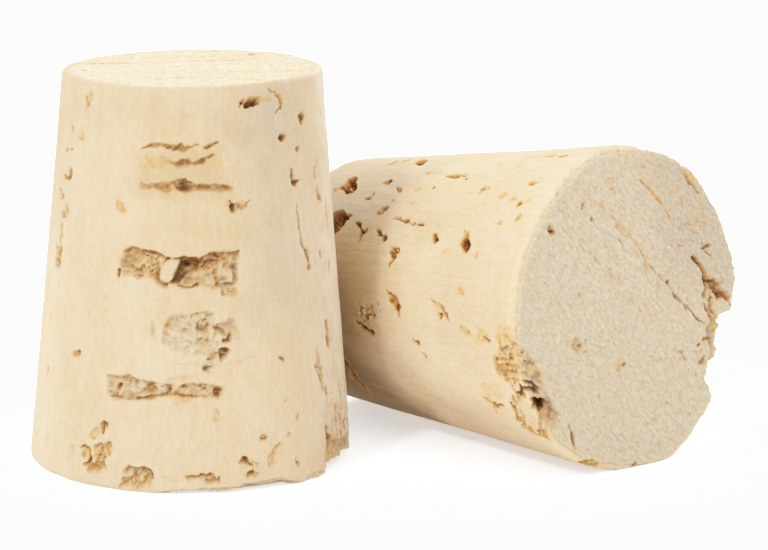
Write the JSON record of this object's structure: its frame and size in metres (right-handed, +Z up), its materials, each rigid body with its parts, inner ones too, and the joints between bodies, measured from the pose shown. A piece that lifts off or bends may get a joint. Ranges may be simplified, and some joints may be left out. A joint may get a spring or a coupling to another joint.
{
  "type": "tapered cork stoppers",
  "caption": "Loose tapered natural cork stoppers that plug a round hole, such as a shaker's filling hole, standing on the large end and lying on the side.",
  "frame": {"origin": "centre of the standing stopper's large end, on the table", "axes": "+Z up along the standing stopper's axis, +X towards the lying stopper, +Y away from the viewer"},
  "size_m": [0.0529, 0.0374, 0.029],
  "materials": {
    "natural_cork": "bare natural bark cork: ground side with fine streaks, sawn ends, open brown pores, matte"
  },
  "bodies": {
    "upright_stopper": {"upright_stopper": "natural_cork"},
    "lying_stopper": {"lying_stopper": "natural_cork"}
  },
  "joints": [
    {"name": "lift_lying_stopper", "type": "slide", "parent": "upright_stopper", "child": "lying_stopper", "axis": [0, 0, 1], "range_m": [0, 0.06]}
  ]
}
